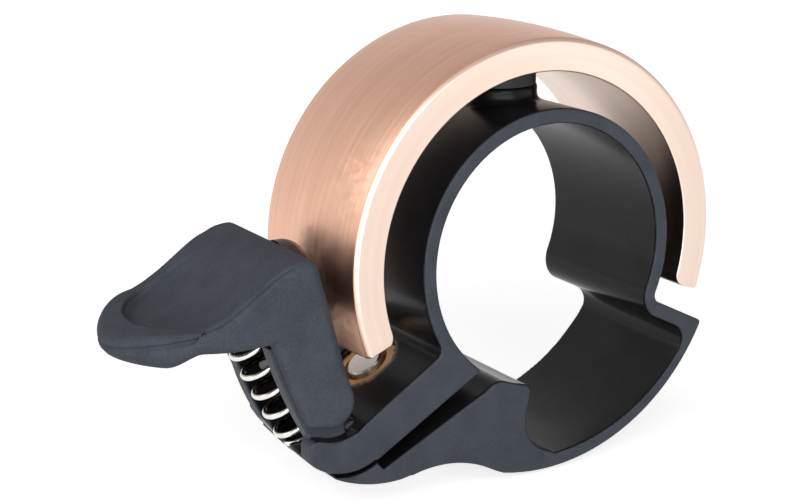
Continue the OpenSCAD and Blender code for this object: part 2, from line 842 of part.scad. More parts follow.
// domed striker pressed into the lever
module striker() {
    color([0.16, 0.15, 0.15])
        translate([seat_x + seat_fit, 0, pivot_z + striker_up])
            rotate([0, 90, 0])
                rotate_extrude()
                    union() {
                        translate([0, -stem_len])
                            square([striker_stem / 2, stem_len * 1.2]);
                        intersection() {
                            translate([0, dome_z])
                                circle(r = striker_r);
                            square([striker_r, striker_r * 3]);
                        }
                        square([striker_r, max(drop_fit, dome_z)]);
                    }
}

// coil rise at a turn, with closed ends
function coil_z(t) =
    let (low = wire_d * 1.04 * coil_shut, high = spring_len - wire_d - 2 * seat_fit)
    t <= coil_shut ? low * t / coil_shut :
    t >= coil_turns - coil_shut ? high - low * (coil_turns - t) / coil_shut :
    low + (high - 2 * low) * (t - coil_shut) / (coil_turns - 2 * coil_shut);

// compression spring between the bracket and the paddle
module lever_spring() {
    per = 24;
    ring = 8;
    n = round(coil_turns * per);
    pts = [for (i = [0:n]) let (t = i / per, a = 360 * t + coil_start, h = coil_z(t) + wire_d / 2 + seat_fit)
           for (k = [0:ring - 1])
               let (r = coil_d / 2 + wire_d / 2 * cos(360 * k / ring))
               [r * cos(a), r * sin(a), h + wire_d / 2 * sin(360 * k / ring)]];
    sides = [for (i = [0:n - 1]) for (k = [0:ring - 1])
             [i * ring + k, i * ring + (k + 1) % ring, (i + 1) * ring + (k + 1) % ring, (i + 1) * ring + k]];
    caps = [[for (k = [ring - 1:-1:0]) k], [for (k = [0:ring - 1]) n * ring + k]];
    color([0.8, 0.81, 0.83])
        on_spring()
            polyhedron(points = pts, faces = concat(sides, caps));
}

clamp_bracket();
bell_ring();
ring_bush();
ring_screw();
threaded_insert();
clamp_bolt();
bolt_washer();
pivot_pin_near();
pivot_pin_far();
thumb_lever();
striker();
lever_spring();
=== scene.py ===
import json
import math
import bpy
import numpy as np
from mathutils import Matrix, Vector


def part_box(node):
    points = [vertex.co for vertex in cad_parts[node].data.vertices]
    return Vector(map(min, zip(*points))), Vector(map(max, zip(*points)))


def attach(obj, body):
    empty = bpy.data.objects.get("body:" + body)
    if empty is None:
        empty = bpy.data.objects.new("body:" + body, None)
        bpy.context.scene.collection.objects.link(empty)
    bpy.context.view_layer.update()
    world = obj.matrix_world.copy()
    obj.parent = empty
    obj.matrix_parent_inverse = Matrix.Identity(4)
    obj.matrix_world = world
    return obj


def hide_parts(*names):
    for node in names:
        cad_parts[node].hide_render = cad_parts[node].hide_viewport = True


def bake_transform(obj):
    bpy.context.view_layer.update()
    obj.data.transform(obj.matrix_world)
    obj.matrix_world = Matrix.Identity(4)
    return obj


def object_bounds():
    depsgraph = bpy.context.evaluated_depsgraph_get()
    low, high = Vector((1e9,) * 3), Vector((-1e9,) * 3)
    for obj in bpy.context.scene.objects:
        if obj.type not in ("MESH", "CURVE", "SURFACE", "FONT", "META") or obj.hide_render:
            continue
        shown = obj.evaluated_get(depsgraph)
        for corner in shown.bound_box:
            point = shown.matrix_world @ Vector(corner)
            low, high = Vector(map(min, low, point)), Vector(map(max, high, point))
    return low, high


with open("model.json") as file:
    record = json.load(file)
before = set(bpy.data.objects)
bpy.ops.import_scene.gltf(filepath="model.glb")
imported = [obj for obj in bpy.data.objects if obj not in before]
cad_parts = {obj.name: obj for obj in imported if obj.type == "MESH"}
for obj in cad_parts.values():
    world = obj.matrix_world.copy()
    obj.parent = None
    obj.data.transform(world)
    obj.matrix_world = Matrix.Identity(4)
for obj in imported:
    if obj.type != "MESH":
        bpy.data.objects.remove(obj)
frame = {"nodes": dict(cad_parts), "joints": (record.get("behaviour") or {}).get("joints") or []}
cadLow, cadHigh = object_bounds()
scene = bpy.context.scene
scene.view_settings.view_transform = "Standard"
mm = 0.001
nodes = frame["nodes"]
hinge = next(j for j in frame["joints"] if j["name"] == "lever_press")
pivot = np.array(hinge["pos_m"]) / mm
print("frame loaded,", len(nodes), "pieces")


# camera at the photograph's angle: turned about the bar, then raised, looking at a point beside the bore
camera = {"turnDeg": -30.778, "riseDeg": 15.452, "rollRad": -0.01368, "distanceMm": 153.69,
          "aimMm": (-10.095, 0.0, 0.153), "lensMm": 82.70, "sensorMm": 36.0, "clipM": (0.005, 20)}


# the view from the aim point back along the turn and the rise, then rolled about itself
def setCamera(c):
    turn, rise, roll = math.radians(c["turnDeg"]), math.radians(c["riseDeg"]), c["rollRad"]
    back = Vector((math.sin(turn) * math.cos(rise), -math.cos(turn) * math.cos(rise), math.sin(rise)))
    right = Vector((math.cos(turn), math.sin(turn), 0))
    up = back.cross(right)
    rolledRight = right * math.cos(roll) + up * math.sin(roll)
    rolledUp = up * math.cos(roll) - right * math.sin(roll)
    data = bpy.data.cameras.new("photoCamera")
    data.lens, data.sensor_width = c["lensMm"], c["sensorMm"]
    data.clip_start, data.clip_end = c["clipM"]
    eye = bpy.data.objects.new("photoCamera", data)
    scene.collection.objects.link(eye)
    place = Matrix((rolledRight, rolledUp, back)).transposed().to_4x4()
    place.translation = (Vector(c["aimMm"]) + back * c["distanceMm"]) * mm
    eye.matrix_world = place
    scene.camera = eye


setCamera(camera)


# white studio: a world that shows white low down and darker overhead, a white floor and large soft boxes
studio = {"worldLight": 0.1, "ceiling": 0.62, "ceilingFrom": 0.1, "ceilingTo": 0.6}
floorForm = {"dropMm": 0.4, "sizeMm": 4000, "tone": 0.8, "glowNear": 0.75, "glowFar": 1.0,
             "nearMm": 40, "farMm": 240}
softBoxes = {
    "frontBox": {"at": (-150, -230, 50), "size": (380, 380), "watts": 1.25},
    "leftBox": {"at": (-500, 350, 330), "size": (350, 350), "watts": 0.75},
}


# a value carried from one range to another
def carried(tree, value, low, high, fromLow=0.3, fromHigh=0.7):
    node = tree.nodes.new("ShaderNodeMapRange")
    for key, v in (("From Min", fromLow), ("From Max", fromHigh), ("To Min", low), ("To Max", high)):
        node.inputs[key].default_value = v
    tree.links.new(value, node.inputs["Value"])
    return node.outputs["Result"]


# two values joined by a sum, a product or the like
def joined(tree, first, second, operation):
    node = tree.nodes.new("ShaderNodeMath")
    node.operation = operation
    for socket, v in zip(node.inputs, (first, second)):
        if isinstance(v, (int, float)):
            socket.default_value = v
        else:
            tree.links.new(v, socket)
    return node.outputs[0]


# 1 on the rays that show the background: seen, mirrored or passed through
def seenShare(tree):
    path = tree.nodes.new("ShaderNodeLightPath").outputs
    mirrored = joined(tree, path["Is Camera Ray"], path["Is Glossy Ray"], "MAXIMUM")
    return joined(tree, mirrored, path["Is Transmission Ray"], "MAXIMUM")


# the world lights the object evenly and weakly; what is seen or mirrored of it is white, greyer overhead
def setWorld(s):
    world = bpy.data.worlds.new("whiteStudio")
    scene.world = world
    world.use_nodes = True
    tree = world.node_tree
    tree.nodes.clear()
    lit = tree.nodes.new("ShaderNodeBackground")
    lit.inputs["Strength"].default_value = s["worldLight"]
    shown = tree.nodes.new("ShaderNodeBackground")
    for b in (lit, shown):
        b.inputs["Color"].default_value = (1, 1, 1, 1)
    way = tree.nodes.new("ShaderNodeTexCoord")
    part = tree.nodes.new("ShaderNodeSeparateXYZ")
    tree.links.new(way.outputs["Generated"], part.inputs[0])
    overhead = carried(tree, part.outputs["Z"], 1, s["ceiling"], s["ceilingFrom"], s["ceilingTo"])
    tree.links.new(overhead, shown.inputs["Strength"])
    mix = tree.nodes.new("ShaderNodeMixShader")
    out = tree.nodes.new("ShaderNodeOutputWorld")
    tree.links.new(seenShare(tree), mix.inputs[0])
    tree.links.new(lit.outputs[0], mix.inputs[1])
    tree.links.new(shown.outputs[0], mix.inputs[2])
    tree.links.new(mix.outputs[0], out.inputs[0])


# square lamps that face the object
def setSoftBoxes(boxes):
    for name, b in boxes.items():
        data = bpy.data.lights.new(name, "AREA")
        data.shape = "RECTANGLE"
        data.size, data.size_y = b["size"][0] * mm, b["size"][1] * mm
        data.energy = b["watts"]
        lamp = bpy.data.objects.new(name, data)
        scene.collection.objects.link(lamp)
        at = Vector(b["at"]) * mm
        lamp.location = at
        lamp.rotation_euler = (-at).to_track_quat("-Z", "Y").to_euler()


# the floor's own paint keeps the shadow, and a glow on seen rays alone, stronger far off, lifts it to white
def setFloor(f):
    half = f["sizeMm"] * mm / 2
    z = cadLow.z - f["dropMm"] * mm
    mesh = bpy.data.meshes.new("whiteFloor")
    corners = [(-half, -half, z), (half, -half, z), (half, half, z), (-half, half, z)]
    mesh.from_pydata(corners, [], [(0, 1, 2, 3)])
    floor = bpy.data.objects.new("whiteFloor", mesh)
    scene.collection.objects.link(floor)
    material = bpy.data.materials.new("whiteFloor")
    material.use_nodes = True
    tree = material.node_tree
    tree.nodes.clear()
    paint = tree.nodes.new("ShaderNodeBsdfDiffuse")
    paint.inputs["Color"].default_value = (f["tone"],) * 3 + (1,)
    place = tree.nodes.new("ShaderNodeTexCoord")
    away = tree.nodes.new("ShaderNodeVectorMath")
    away.operation = "LENGTH"
    tree.links.new(place.outputs["Object"], away.inputs[0])
    near, far = f["nearMm"] * mm, f["farMm"] * mm
    glow = carried(tree, away.outputs["Value"], f["glowNear"], f["glowFar"], near, far)
    shown = tree.nodes.new("ShaderNodeEmission")
    tree.links.new(joined(tree, seenShare(tree), glow, "MULTIPLY"), shown.inputs["Strength"])
    both = tree.nodes.new("ShaderNodeAddShader")
    tree.links.new(paint.outputs[0], both.inputs[0])
    tree.links.new(shown.outputs[0], both.inputs[1])
    out = tree.nodes.new("ShaderNodeOutputMaterial")
    tree.links.new(both.outputs[0], out.inputs[0])
    mesh.materials.append(material)


setWorld(studio)
setSoftBoxes(softBoxes)
setFloor(floorForm)
print("studio ready")


# tools for the shapes: every field gives a distance in millimetres, negative inside the material

# distance to a circle
def disc(x, z, cx, cz, r):
    return np.hypot(x - cx, z - cz) - r


# inside both, with the outer edge between them rounded
def roundMax(a, b, r):
    return np.minimum(np.maximum(a, b), -r) + np.hypot(np.maximum(a + r, 0), np.maximum(b + r, 0))


# inside either, with the inner corner between them filled
def roundMin(a, b, r):
    return -roundMax(-a, -b, r)


# the plane's coordinates turned by an angle
def turned(x, z, degrees):
    c, s = math.cos(math.radians(degrees)), math.sin(math.radians(degrees))
    return x * c + z * s, z * c - x * s


# distance to a closed outline: the nearest of its sides, signed by counting the sides crossed
def outline(x, z, corners):
    x, z = np.broadcast_arrays(x, z)
    nearest, inside = np.full(x.shape, np.inf), np.zeros(x.shape, bool)
    for (ax, az), (bx, bz) in zip(corners, np.roll(corners, -1, axis=0)):
        dx, dz = bx - ax, bz - az
        along = np.clip(((x - ax) * dx + (z - az) * dz) / (dx * dx + dz * dz), 0, 1)
        nearest = np.minimum(nearest, (x - ax - along * dx) ** 2 + (z - az - along * dz) ** 2)
        if dz:
            inside ^= ((az > z) != (bz > z)) & (x < ax + dx * (z - az) / dz)
    return np.sqrt(nearest) * np.where(inside, -1, 1)


# points on an arc from one angle to another
def arc(cx, cz, r, first, last, count):
    a = np.radians(np.linspace(first, last, count))
    return np.stack((cx + r * np.cos(a), cz + r * np.sin(a)), -1)


# smooth step from 0 to 1
def ease(t):
    t = np.clip(t, 0, 1)
    return t * t * (3 - 2 * t)


# grid lines from low to high, close together round the given places and wider between them
def gridLines(low, high, fine, coarse, places, reach, samples=4000):
    t = np.linspace(low, high, samples)
    near = np.min(np.abs(t[:, None] - np.array(places)[None, :]), axis=1)
    density = 1 / (fine + (coarse - fine) * ease((near - reach) / reach))
    share = np.concatenate(([0], np.cumsum((density[1:] + density[:-1]) / 2 * np.diff(t))))
    return np.interp(np.linspace(0, share[-1], int(share[-1]) + 2), share, t)


# a smooth curve through a few points: between two of them a cubic whose slopes follow their neighbours
def smoothLine(points, perSpan):
    p = np.array(points, float)
    wide = np.concatenate((2 * p[:1] - p[1:2], p, 2 * p[-1:] - p[-2:-1]))
    slope = (wide[2:] - wide[:-2]) / 2
    t = np.linspace(0, 1, perSpan, endpoint=False)[None, :, None]
    a, b, da, db = p[:-1, None], p[1:, None], slope[:-1, None], slope[1:, None]
    curve = a + da * t + (3 * (b - a) - 2 * da - db) * t ** 2 + (2 * (a - b) + da + db) * t ** 3
    return np.concatenate((curve.reshape(-1, 2), p[-1:]))


netForm = {"rounds": 3, "probeMm": 0.004, "stepMm": 0.15, "steepMin": 0.2}


# the surface where a field is zero: one point in each grid cell that the surface crosses, at the mean of the
# crossings on the cell's edges, one quad round each crossed grid edge, then steps along the field's slope
def levelSurface(field, xs, ys, zs):
    value = field(xs[:, None, None], ys[None, :, None], zs[None, None, :])
    inside = value < 0
    corners = [(i, j, k) for i in (0, 1) for j in (0, 1) for k in (0, 1)]
    nx, ny, nz = len(xs) - 1, len(ys) - 1, len(zs) - 1
    count = sum(inside[i:i + nx, j:j + ny, k:k + nz].astype(np.int8) for i, j, k in corners)
    cells = np.argwhere((count > 0) & (count < 8))
    number = np.full(count.shape, -1, np.int32)
    number[tuple(cells.T)] = np.arange(len(cells))
    axes = (xs, ys, zs)
    total, crossings = np.zeros((len(cells), 3)), np.zeros(len(cells))
    for a in corners:
        for d in range(3):
            if a[d]:
                continue
            b = tuple(c + (n == d) for n, c in enumerate(a))
            va, vb = value[tuple((cells + a).T)], value[tuple((cells + b).T)]
            cut = (va < 0) != (vb < 0)
            share = np.where(cut, va / np.where(cut, va - vb, 1), 0)
            pa = np.stack([axes[n][cells[:, n] + a[n]] for n in range(3)], -1)
            pb = np.stack([axes[n][cells[:, n] + b[n]] for n in range(3)], -1)
            total += np.where(cut[:, None], pa + (pb - pa) * share[:, None], 0)
            crossings += cut
    points = total / crossings[:, None]
    faces = []
    for d in range(3):
        e, f = (d + 1) % 3, (d + 2) % 3
        low, high = np.moveaxis(inside, d, 0)[:-1], np.moveaxis(inside, d, 0)[1:]
        edge = np.argwhere(np.moveaxis(low != high, 0, d))
        leaving = inside[tuple(edge.T)]
        ring = []
        for back in ((1, 1), (0, 1), (0, 0), (1, 0)):
            cell = edge.copy()
            cell[:, e] -= back[0]
            cell[:, f] -= back[1]
            ring.append(number[tuple(cell.T)])
        ring = np.stack(ring, -1)
        faces.append(np.where(leaving[:, None], ring, ring[:, ::-1]))
    probe, most = netForm["probeMm"], netForm["stepMm"]
    for _ in range(netForm["rounds"]):
        change = [field(*(points + n).T) - field(*(points - n).T) for n in probe * np.eye(3)]
        slope = np.stack(change, -1) / (2 * probe)
        step = field(*points.T) / np.maximum((slope ** 2).sum(-1), netForm["steepMin"])
        points = points - np.clip(step, -most, most)[:, None] * slope
    return points, np.concatenate(faces)


# quads of a grid of points, with its rows and columns closed where asked
def gridQuads(rows, cols, closedRows=False, closedCols=False):
    r = np.arange(rows if closedRows else rows - 1)
    c = np.arange(cols if closedCols else cols - 1)
    r, c = np.meshgrid(r, c, indexing="ij")
    r, c = r.ravel(), c.ravel()
    up, side = (r + 1) % rows, (c + 1) % cols
    return np.stack((r * cols + c, r * cols + side, up * cols + side, up * cols + c), -1)


# a finished piece: millimetre points and quads made a mesh, riding a body in place of a CAD node
def addPiece(name, points, quads, node, material, body="frame"):
    mesh = bpy.data.meshes.new(name)
    mesh.from_pydata((points * mm).tolist(), [], quads.tolist())
    mesh.polygons.foreach_set("use_smooth", np.ones(len(quads), bool))
    mesh.materials.append(material)
    piece = bpy.data.objects.new(name, mesh)
    scene.collection.objects.link(piece)
    if body:
        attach(piece, body)
    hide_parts(node)
    print(name, len(quads), "quads")
    return piece


# materials: node helpers, then one function for each stuff

def newMaterial(name):
    material = bpy.data.materials.new(name)
    material.use_nodes = True
    tree = material.node_tree
    return material, tree, tree.nodes["Principled BSDF"]


# noise at a grain size in millimetres, on the piece's own place or on its UV map, stretched along each way
def grain(tree, sizeMm, stretch=(1, 1, 1), detail=3, uv=False):
    place = tree.nodes.new("ShaderNodeTexCoord")
    fit = tree.nodes.new("ShaderNodeMapping")
    fit.inputs["Scale"].default_value = tuple(1 / (sizeMm * mm * s) for s in stretch)
    tree.links.new(place.outputs["UV" if uv else "Object"], fit.inputs["Vector"])
    noise = tree.nodes.new("ShaderNodeTexNoise")
    noise.inputs["Scale"].default_value = 1
    noise.inputs["Detail"].default_value = detail
    tree.links.new(fit.outputs["Vector"], noise.inputs["Vector"])
    return noise.outputs["Fac"]


# a colour between two, by a value
def between(tree, value, first, second):
    node = tree.nodes.new("ShaderNodeMix")
    node.data_type = "RGBA"
    tree.links.new(value, node.inputs["Factor"])
    for key, c in (("A", first), ("B", second)):
        socket = next(s for s in node.inputs if s.name == key and s.type == "RGBA")
        if isinstance(c, tuple):
            socket.default_value = (*c, 1)
        else:
            tree.links.new(c, socket)
    return next(s for s in node.outputs if s.type == "RGBA")


# small relief in the surface, by a height
def bumped(tree, shader, height, depthMm):
    node = tree.nodes.new("ShaderNodeBump")
    node.inputs["Strength"].default_value = 1
    node.inputs["Distance"].default_value = depthMm * mm
    tree.links.new(height, node.inputs["Height"])
    tree.links.new(node.outputs["Normal"], shader.inputs["Normal"])


# a value that a piece carries at its points
def attribute(tree, name):
    node = tree.nodes.new("ShaderNodeAttribute")
    node.attribute_name = name
    return node.outputs["Fac"]


# how two summed noises spread over the colours, and how far the gloss goes with them
noiseSpan = {"from": 0.7, "to": 1.3, "glossier": 0.05, "duller": 0.06, "metalGlossier": 0.06,
             "metalDuller": 0.08}


# moulded plastic: fine spark-eroded grain, a faint cloudiness, and a satin that varies with it; where asked,
# the faces off the grained mask are smooth and glossier and painted near black as shade
def plastic(name, t):
    material, tree, shader = newMaterial(name)
    cloud, fine = grain(tree, t["cloudMm"]), grain(tree, t["grainMm"], detail=2)
    mixed, s = joined(tree, cloud, fine, "ADD"), noiseSpan
    colour = between(tree, carried(tree, mixed, 0, 1, s["from"], s["to"]), t["dark"], t["pale"])
    rough = carried(tree, mixed, t["rough"] - s["glossier"], t["rough"] + s["duller"], s["from"], s["to"])
    shader.inputs["Specular IOR Level"].default_value = t["specular"]
    # painted shade: faces off the grained mask (tops, bore, inner faces) get a near-black colour, so they
    # read as shaded beside the lit grained faces
    if "smooth" in t:
        grainedLit = attribute(tree, "grainedLit")
        smooth = between(tree, carried(tree, cloud, 0, 1), t["smoothShadeDark"], t["smoothShadePale"])
        colour = between(tree, grainedLit, smooth, colour)
        satin = joined(tree, rough, grainedLit, "MULTIPLY")
        gloss = joined(tree, joined(tree, 1.0, grainedLit, "SUBTRACT"), t["smooth"], "MULTIPLY")
        rough = joined(tree, satin, gloss, "ADD")
        fine = joined(tree, fine, carried(tree, grainedLit, t["smoothGrain"], 1, 0, 1), "MULTIPLY")
    tree.links.new(colour, shader.inputs["Base Color"])
    tree.links.new(rough, shader.inputs["Roughness"])
    bumped(tree, shader, fine, t["depthMm"])
    return material


# copper: the outside brushed round the ring, the near face and inside turned smooth and paler; the paler
# colour is partly the turned metal and partly a painted highlight, the glare of the near face
def copperFinish(c):
    material, tree, shader = newMaterial("brushedCopper")
    brushed = attribute(tree, "brushed")
    streak = grain(tree, c["streakMm"], (c["streakLong"], 1, 1), 4, uv=True)
    broad = grain(tree, c["broadMm"], (c["streakLong"], 1, 1), 2, uv=True)
    fine = joined(tree, streak, c["streakShare"], "MULTIPLY")
    wide = joined(tree, broad, 1 - c["streakShare"], "MULTIPLY")
    mixed = joined(tree, fine, wide, "ADD")
    brushColour = between(tree, carried(tree, mixed, 0, 1), c["brushDark"], c["brushPale"])
    # painted highlight: the turned faces take a paler, less saturated copper than the brushed outside,
    # standing in for glare
    faceGlareColour = between(tree, carried(tree, broad, 0, 1), c["faceGlareDark"], c["faceGlarePale"])
    tree.links.new(between(tree, brushed, faceGlareColour, brushColour), shader.inputs["Base Color"])
    rough = carried(tree, mixed, c["brushRough"] - c["roughSpread"], c["brushRough"] + c["roughSpread"])
    over = joined(tree, brushed, joined(tree, rough, c["faceRough"], "SUBTRACT"), "MULTIPLY")
    tree.links.new(joined(tree, over, c["faceRough"], "ADD"), shader.inputs["Roughness"])
    shader.inputs["Metallic"].default_value = 1
    shader.inputs["Anisotropic"].default_value = c["anisotropy"]
    way = tree.nodes.new("ShaderNodeTangent")
    way.direction_type = "UV_MAP"
    way.uv_map = "around"
    tree.links.new(way.outputs["Tangent"], shader.inputs["Tangent"])
    bumped(tree, shader, joined(tree, mixed, brushed, "MULTIPLY"), c["bumpMm"])
    return material


# bare metal: a fine grain with a little colour and gloss change, and where asked a painted shade: a dark
# colour on the side that faces the coil's axis
def metal(name, t):
    material, tree, shader = newMaterial(name)
    fine, s = grain(tree, t["grainMm"]), noiseSpan
    colour = between(tree, carried(tree, fine, 0, 1), t["dark"], t["pale"])
    # painted shade: the side of the wire that faces the coil's axis takes a near-black colour, as if in
    # shadow
    if "inside" in t:
        colour = between(tree, attribute(tree, "inward"), colour, t["inside"])
    tree.links.new(colour, shader.inputs["Base Color"])
    rough = carried(tree, fine, t["rough"] - s["metalGlossier"], t["rough"] + s["metalDuller"])
    tree.links.new(rough, shader.inputs["Roughness"])
    shader.inputs["Metallic"].default_value = 1
    bumped(tree, shader, fine, t["depthMm"])
    return material


# the bracket's smooth colours are painted shade for the faces off the grained mask
bracketTone = {"dark": (0.048, 0.054, 0.068), "pale": (0.074, 0.082, 0.100), "rough": 0.5, "specular": 0.15,
               "cloudMm": 2.2, "grainMm": 0.16, "depthMm": 0.02, "smooth": 0.24, "smoothGrain": 0.1,
               "smoothShadeDark": (0.005, 0.005, 0.006), "smoothShadePale": (0.010, 0.010, 0.012)}
leverTone = {"dark": (0.056, 0.062, 0.076), "pale": (0.088, 0.097, 0.116), "rough": 0.72, "specular": 0.1,
             "cloudMm": 2.2, "grainMm": 0.18, "depthMm": 0.026}
strikerTone = {"dark": (0.030, 0.024, 0.022), "pale": (0.038, 0.030, 0.028), "rough": 0.24, "specular": 0.5,
               "cloudMm": 1.2, "grainMm": 0.3, "depthMm": 0.003}
rubberTone = {"dark": (0.018, 0.019, 0.021), "pale": (0.026, 0.027, 0.030), "rough": 0.5, "specular": 0.4,
              "cloudMm": 1.2, "grainMm": 0.12, "depthMm": 0.01}
# copper: the face colours are partly turned metal and partly a painted highlight, paler and whiter than the
# brushed copper
copperTone = {"brushDark": (0.64, 0.36, 0.25), "brushPale": (0.86, 0.52, 0.38),
              "faceGlareDark": (0.82, 0.64, 0.535), "faceGlarePale": (0.87, 0.705, 0.61), "brushRough": 0.34,
              "faceRough": 0.3, "roughSpread": 0.05, "anisotropy": 0.75, "streakMm": 0.09, "broadMm": 0.6,
              "streakLong": 90, "streakShare": 0.65, "bumpMm": 0.004}
# the spring's inside colour is painted shade for the wire's inward side, which lies in shadow
springTone = {"dark": (0.74, 0.72, 0.68), "pale": (0.86, 0.84, 0.80), "rough": 0.24, "grainMm": 0.15,
              "depthMm": 0.001, "inside": (0.02, 0.019, 0.018)}
boltTone = {"dark": (0.66, 0.65, 0.64), "pale": (0.76, 0.75, 0.74), "rough": 0.32, "grainMm": 0.3,
            "depthMm": 0.0006}
brassTone = {"dark": (0.48, 0.26, 0.115), "pale": (0.62, 0.37, 0.18), "rough": 0.36, "grainMm": 0.3,
             "depthMm": 0.001}
bracketNylon = plastic("bracketNylon", bracketTone)
leverNylon = plastic("leverNylon", leverTone)
strikerPlastic = plastic("strikerPlastic", strikerTone)
rubber = plastic("bushRubber", rubberTone)
copper = copperFinish(copperTone)
springSteel = metal("springSteel", springTone)
boltSteel = metal("boltSteel", boltTone)
brass = metal("insertBrass", brassTone)
print("materials ready")


# clamp bracket: one moulding, as the CAD draws it, with its edges and corners rounded
bracketForm = {"barR": 11.1, "bandR": 12.35, "width": 15.0, "foldDeg": 27.3, "foldT": 1.35, "foldBend": 2.3,
               "foldFillet": 1.8, "foldEnd": 1.15, "notchFillet": 0.7, "strapIn": 17.65, "strapOut": 18.5,
               "strapSwell": 0.4, "tilt": 32.0, "flangeT": 3.7, "flangeFillet": 0.8, "slotMouth": 1.95,
               "slotEnd": 1.0, "slotEdge": 0.1, "seam": 0.3, "overIn": 0.5, "overDown": 2.96, "rootIn": 9.99,
               "tipR": 5.0, "tipIn": 0.3, "tipUp": 1.75, "tipOut": 4.7, "tipDown": 6.0, "slotTipDown": 1.5,
               "heelUp": 2.0, "heelRun": 3.2, "heelBack": 0.9, "heelTop": 1.9, "heelNose": 0.5,
               "heelStep": 0.2, "heelIn": 0.8, "lipR": 11.4, "lipIn": 6.3, "lipUp": 3.6,
               "lipFrom": 1.575, "lipPast": 1.0, "lipDown": 10.49, "rake": 1.8, "scallopR": 10.3,
               "scallopDown": 5.2, "boltOut": 5.2, "edge": 0.22, "soft": 0.3, "hair": 0.05, "holeEdge": 0.12,
               "earFillet": 0.15, "noseR": 0.7, "roomTaper": 0.28, "roomFrom": 0.5, "roomRun": 4.0,
               "away": 80.0, "noseLine": ((-1.83, -10.5), (-1.97, -12.0), (-2.38, -13.8), (-2.10, -15.5),
                                          (-0.98, -16.8), (0.6, -17.55))}
mountForm = {"bossR": 3.1, "bossH": 1.1, "screwR": 1.35, "headR": 2.2, "headTop": 12.45, "insertR": 2.92,
             "insertPast": 0.5, "boltR": 1.8, "washerR": 3.1, "washerDown": 6.65,
             "bossRoot": 0.6, "bossEdge": 0.25, "bossFillet": 0.5}
pivotForm = {"up": 3.15, "out": 22.1, "pinR": 0.72, "earIn": 4.8, "earOut": 6.4, "earUp": 5.3, "earDown": 5.2,
             "earLead": 3.4, "earLean": 0.445, "earBow": 0.078, "earTop": 1.1,
             "earRear": ((1.3, -4.06), (1.2, -2.03), (0.6, 1.22)),
             "farLead": 2.62, "farLean": 0.27, "farBow": 0.16}
springForm = {"footIn": 0.7, "footDown": 4.6, "tilt": 27.0, "coilD": 4.1, "wireD": 0.5, "turns": 6.8,
              "shut": 0.8, "closeStep": 1.04, "lift": 0.02, "taper": 0.05, "length": 12.121, "room": 0.2,
              "capHalf": 1.28, "startDeg": 188.0, "perTurn": 56, "sides": 14, "inFrom": 0.6, "inRun": 0.7}


# front edge of an ear, leaning and slightly bowed, by height over the pivot; the far one leans less below it
def earFront(z, far=False):
    f = pivotForm
    below = np.logical_and(far, z <= 0)
    lean, bow = np.where(below, f["farLean"], f["earLean"]), np.where(below, f["farBow"], f["earBow"])
    return -f["farLead" if far else "earLead"] - lean * z + bow * z * z / f["earUp"]


# bracket seen along the bar: band, folded ledge, strap, and the two flanges, less the bore and the cable room
def bracketSide(x, z):
    f = bracketForm
    p, q = turned(x, z, f["tilt"])
    _, v = turned(x, z, -f["foldDeg"])
    bar, band = disc(x, z, 0, 0, f["barR"]), disc(x, z, 0, 0, f["bandR"])
    outer = disc(x, z, -f["strapSwell"] / 2, -f["strapSwell"], f["strapOut"])
    room = roundMax(v + f["foldT"], disc(x, z, 0, 0, f["strapIn"]), f["foldFillet"])
    empty = roundMin(bar, room, f["foldBend"])
    fold = roundMax(roundMin(band, roundMax(v, outer, f["soft"]), f["notchFillet"]), -empty, f["hair"])
    fold = np.maximum(fold, -f["foldEnd"] - x)
    over = np.maximum(band, np.maximum(x - f["overIn"], -f["overDown"] - q))
    pivotP, seam, tipR = -pivotForm["out"], f["seam"], f["tipR"]
    endP, closeP = pivotP - f["tipOut"], pivotP + seam / 3
    topQ = seam - f["flangeT"]
    lowQ, mouthQ = topQ - f["slotEnd"], -f["flangeT"] - f["slotMouth"]
    tip = disc(p, q, pivotP + f["tipIn"], f["tipUp"], tipR)
    swing = disc(p, q, pivotP, pivotForm["up"], pivotForm["up"] - f["hair"])
    upper = outline(p, q, [(-f["rootIn"], 0), (pivotP, 0), (pivotP - f["heelRun"], f["heelUp"]),
                           (endP + f["heelBack"], f["heelTop"]), (endP, f["heelNose"]), (endP, -f["tipDown"]),
                           (closeP, topQ), (-f["rootIn"], -f["flangeT"] - seam / 2)])
    upper = roundMax(np.maximum(upper, np.minimum(tip, pivotP - p)), -swing, f["soft"])
    far, lipQ, tipQ = f["away"], -f["lipDown"], -f["slotTipDown"]
    lipP, boltP = pivotP + f["lipFrom"], f["lipPast"] - f["barR"] - f["boltOut"]
    lip = np.minimum(disc(p, q, pivotP + f["lipIn"], f["lipUp"], f["lipR"]),
                     outline(p, q, [(lipP, 0), (boltP, 0), (boltP, lipQ), (lipP, lipQ)]))
    slotSide = outline(p, q, [(f["barR"], mouthQ), (-f["barR"], mouthQ), (closeP, lowQ),
                              (closeP - seam, tipQ), (endP - far, tipQ), (endP - far, -far),
                              (f["barR"], -far)])
    line = smoothLine(f["noseLine"], 4)
    noseSide = outline(x, z, [(-far, 0), (line[0, 0], 0), *line, (line[-1, 0], -far), (-far, -far)])
    lower = roundMax(np.minimum(outer, lip), np.maximum(slotSide, noseSide), f["slotEdge"])
    scallop = disc(x, z, -f["barR"], -f["barR"] - f["scallopDown"] - f["scallopR"], f["scallopR"])
    lower = roundMax(np.maximum(lower, seam - tip), -scallop, f["soft"])
    lower = roundMax(lower, -bar, f["noseR"])
    whole = np.minimum(np.minimum(fold, lower), roundMin(over, upper, f["flangeFillet"]))
    return roundMax(whole, -bar, f["hair"])


